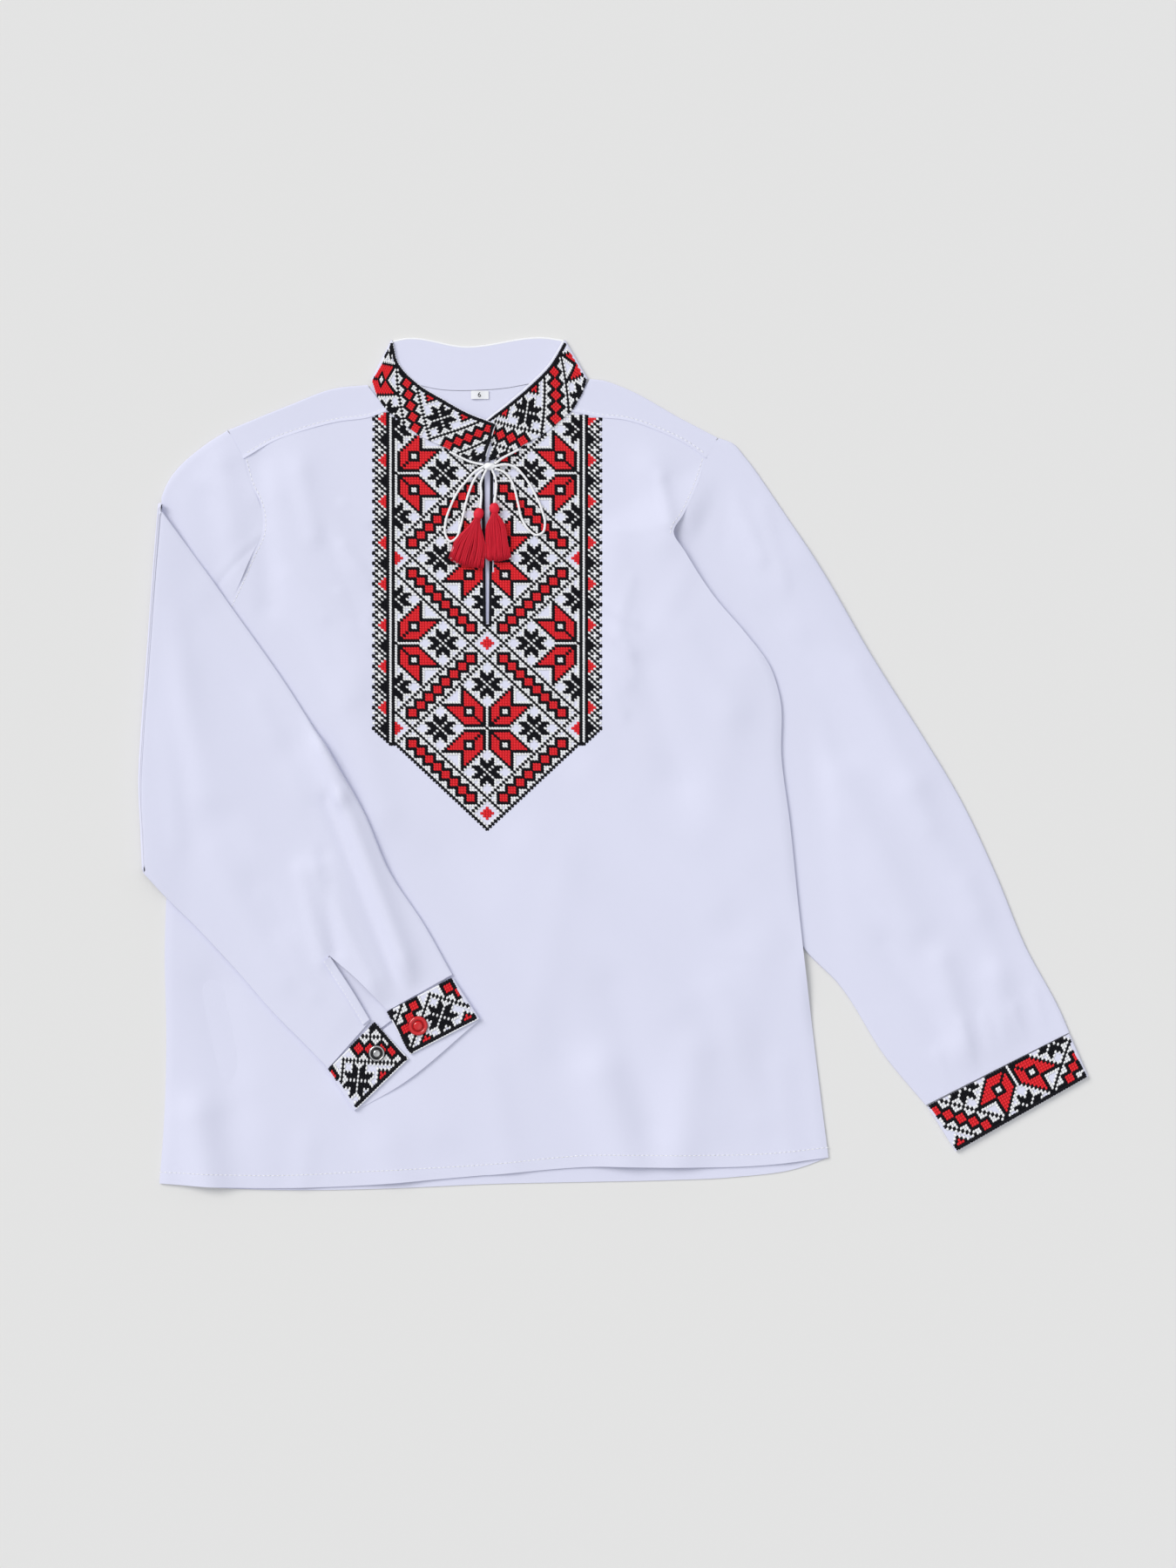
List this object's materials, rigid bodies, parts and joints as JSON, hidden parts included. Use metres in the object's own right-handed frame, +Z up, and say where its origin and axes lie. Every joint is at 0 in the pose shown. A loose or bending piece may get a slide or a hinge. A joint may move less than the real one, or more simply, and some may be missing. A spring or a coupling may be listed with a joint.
{
  "type": "embroidered folk shirt",
  "caption": "Long-sleeved pullover folk shirt laid flat, with a stand collar, a slit neck with a tasselled tie, and snap cuffs, one sleeve folded back over the body.",
  "frame": {"origin": "centre of the footprint on the surface that the shirt lies on", "axes": "+X towards the stretched sleeve, at the wearer's left, +Y towards the neck, +Z up from the surface"},
  "size_m": [0.6219, 0.5584, 0.0084],
  "materials": {
    "poplin": "smooth white cotton with a faint cool tint",
    "stitched_band": "stiff white cotton worked all over in red and black cross-stitch",
    "cord": "twisted white cotton cord",
    "tassel": "soft red thread",
    "stud_cap": "glossy red",
    "stud_metal": "polished nickel",
    "label": "white label tape"
  },
  "bodies": {
    "root": {"back": "poplin", "front": "poplin", "yoke_left": "poplin", "yoke_right": "poplin", "sleeve_left": "poplin", "sleeve_right": "poplin", "placket_left": "poplin", "collar": "stitched_band", "cuff_left": "stitched_band", "cuff_right": "stitched_band", "neck_label": "label", "snap_cap": "stud_cap", "snap_socket": "stud_metal", "tie_knot": "cord", "tie_feed_left": "cord", "tie_feed_right": "cord", "tie_loop_left": "cord", "tie_loop_right": "cord", "tie_tail_left": "cord", "tie_tail_right": "cord", "tassel_left": "tassel", "tassel_right": "tassel"}
  },
  "joints": []
}
